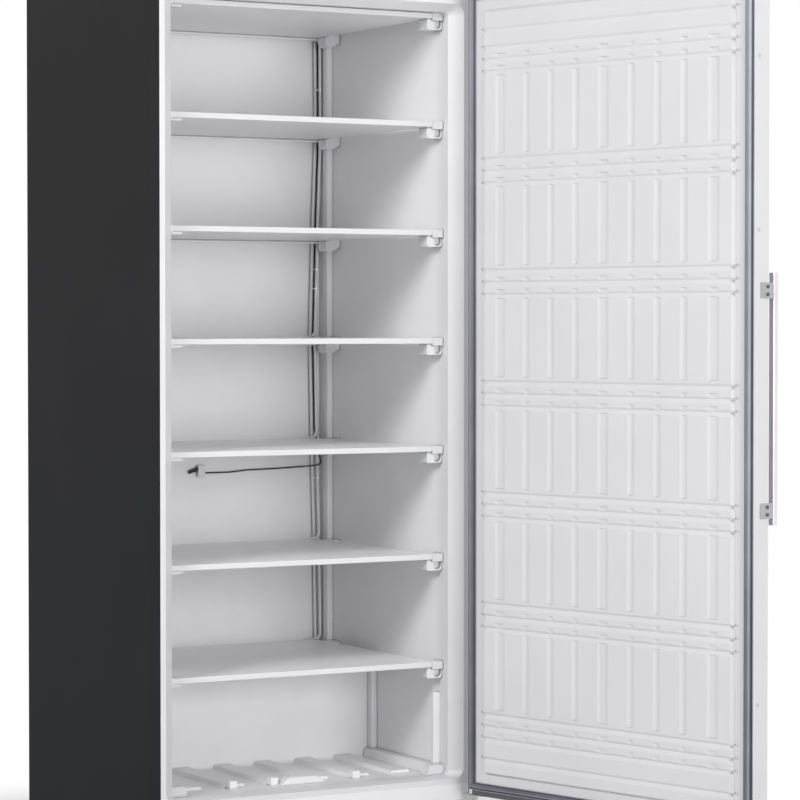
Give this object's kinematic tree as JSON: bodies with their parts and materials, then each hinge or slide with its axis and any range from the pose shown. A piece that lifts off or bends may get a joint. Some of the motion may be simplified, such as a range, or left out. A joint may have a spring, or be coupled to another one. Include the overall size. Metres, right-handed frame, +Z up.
{
  "type": "upright freezer",
  "caption": "Tall upright freezer with a dark steel cabinet, white liner, fixed evaporator shelves and a hinged insulated door, shown open.",
  "frame": {"origin": "on the floor, under the middle of the cabinet's width and of its depth from the front frame to the rear edges of the side panels", "axes": "+X to the right seen from the front, +Y to the back, +Z up; the door opens towards -Y"},
  "size_m": [0.9937, 1.4464, 1.895],
  "materials": {
    "dark_paint": "satin dark grey paint on steel",
    "white_paint": "gloss white paint on steel",
    "plate_paint": "white coated evaporator plate",
    "galvanized": "bare zinc coated sheet",
    "zinc_steel": "bright zinc plated steel",
    "satin_steel": "pale satin steel",
    "satin_handle": "pale satin aluminium",
    "aluminium_part": "crimped aluminium",
    "white_liner": "thermoformed white polystyrene",
    "white_plastic": "moulded white plastic",
    "clear_plastic": "milky moulded plastic",
    "grey_plastic": "moulded grey plastic",
    "grey_cap": "moulded dark grey plastic",
    "black_plastic": "moulded black plastic",
    "black_cable": "black sheathed lead",
    "white_tube": "white coated aluminium tube",
    "black_paint": "black enamel",
    "copper": "drawn copper",
    "foam": "rigid insulating foam",
    "rubber_part": "black rubber",
    "seal_rubber": "grey magnetic seal"
  },
  "bodies": {
    "cabinet": {"back_panel": "galvanized", "base_frame": "galvanized", "bottom_hinge_bracket": "zinc_steel", "bottom_pan": "galvanized", "cabinet_foam": "foam", "capillary_tube": "copper", "compressor": "black_paint", "compressor_grommets": "rubber_part", "condenser_brackets": "black_paint", "condenser_tube": "black_paint", "condenser_wires": "black_paint", "discharge_line": "copper", "evaporator_shelf_1": "plate_paint", "evaporator_shelf_2": "plate_paint", "evaporator_shelf_3": "plate_paint", "evaporator_shelf_4": "plate_paint", "evaporator_shelf_5": "plate_paint", "evaporator_shelf_6": "plate_paint", "evaporator_shelf_7": "plate_paint", "filter_drier": "copper", "front_sill": "white_paint", "hinge_screws": "zinc_steel", "inner_liner": "white_liner", "kick_plate": "dark_paint", "mains_inlet": "black_plastic", "outer_wrap": "dark_paint", "power_switch": "black_plastic", "roller_axles": "zinc_steel", "sensor_clip": "white_plastic", "sensor_lead": "black_cable", "shelf_brackets_left": "clear_plastic", "shelf_brackets_right": "clear_plastic", "shelf_edge_trims": "white_plastic", "shelf_link_tubes": "white_tube", "suction_line": "copper", "suction_riser": "white_tube", "temperature_sensor": "black_plastic", "terminal_cover": "black_plastic", "thermostat_body": "white_plastic", "top_hinge_bracket": "zinc_steel", "tube_sleeves": "aluminium_part"},
    "door": {"door_skin": "satin_steel", "door_foam": "foam", "door_liner": "white_liner", "door_top_cap": "grey_cap", "door_bottom_cap": "grey_cap", "door_gasket": "seal_rubber", "magnet_strips": "rubber_part", "handle_bar": "satin_handle", "handle_brackets": "satin_handle", "handle_screws": "zinc_steel", "hinge_bushes": "white_plastic", "door_edge_plugs": "white_plastic"},
    "knob": {"thermostat_knob": "grey_plastic"},
    "rocker": {"switch_rocker": "grey_plastic"},
    "left_foot": {"foot_left": "black_plastic"},
    "right_foot": {"foot_right": "black_plastic"},
    "left_roller": {"roller_left": "grey_plastic"},
    "right_roller": {"roller_right": "grey_plastic"}
  },
  "joints": [
    {"name": "door_swing", "type": "hinge", "parent": "cabinet", "child": "door", "pos_m": [0.3785, -0.364, 0.9], "axis": [0, 0, 1], "range_deg": [-104.6, 20]},
    {"name": "thermostat_turn", "type": "hinge", "parent": "cabinet", "child": "knob", "pos_m": [0.25, -0.325, 0.1], "axis": [0, -1, 0], "range_deg": [-135, 135]},
    {"name": "switch_rock", "type": "hinge", "parent": "cabinet", "child": "rocker", "pos_m": [0.19, -0.3208, 0.1], "axis": [1, 0, 0], "range_deg": [-16, 0]},
    {"name": "left_foot_turn", "type": "hinge", "parent": "cabinet", "child": "left_foot", "pos_m": [-0.3697, -0.258, 0.05], "axis": [0, 0, 1], "continuous": true},
    {"name": "right_foot_turn", "type": "hinge", "parent": "cabinet", "child": "right_foot", "pos_m": [0.3697, -0.258, 0.05], "axis": [0, 0, 1], "continuous": true},
    {"name": "left_roller_spin", "type": "hinge", "parent": "cabinet", "child": "left_roller", "pos_m": [-0.3697, 0.26, 0.024], "axis": [1, 0, 0], "continuous": true},
    {"name": "right_roller_spin", "type": "hinge", "parent": "cabinet", "child": "right_roller", "pos_m": [0.3697, 0.26, 0.024], "axis": [1, 0, 0], "continuous": true}
  ]
}
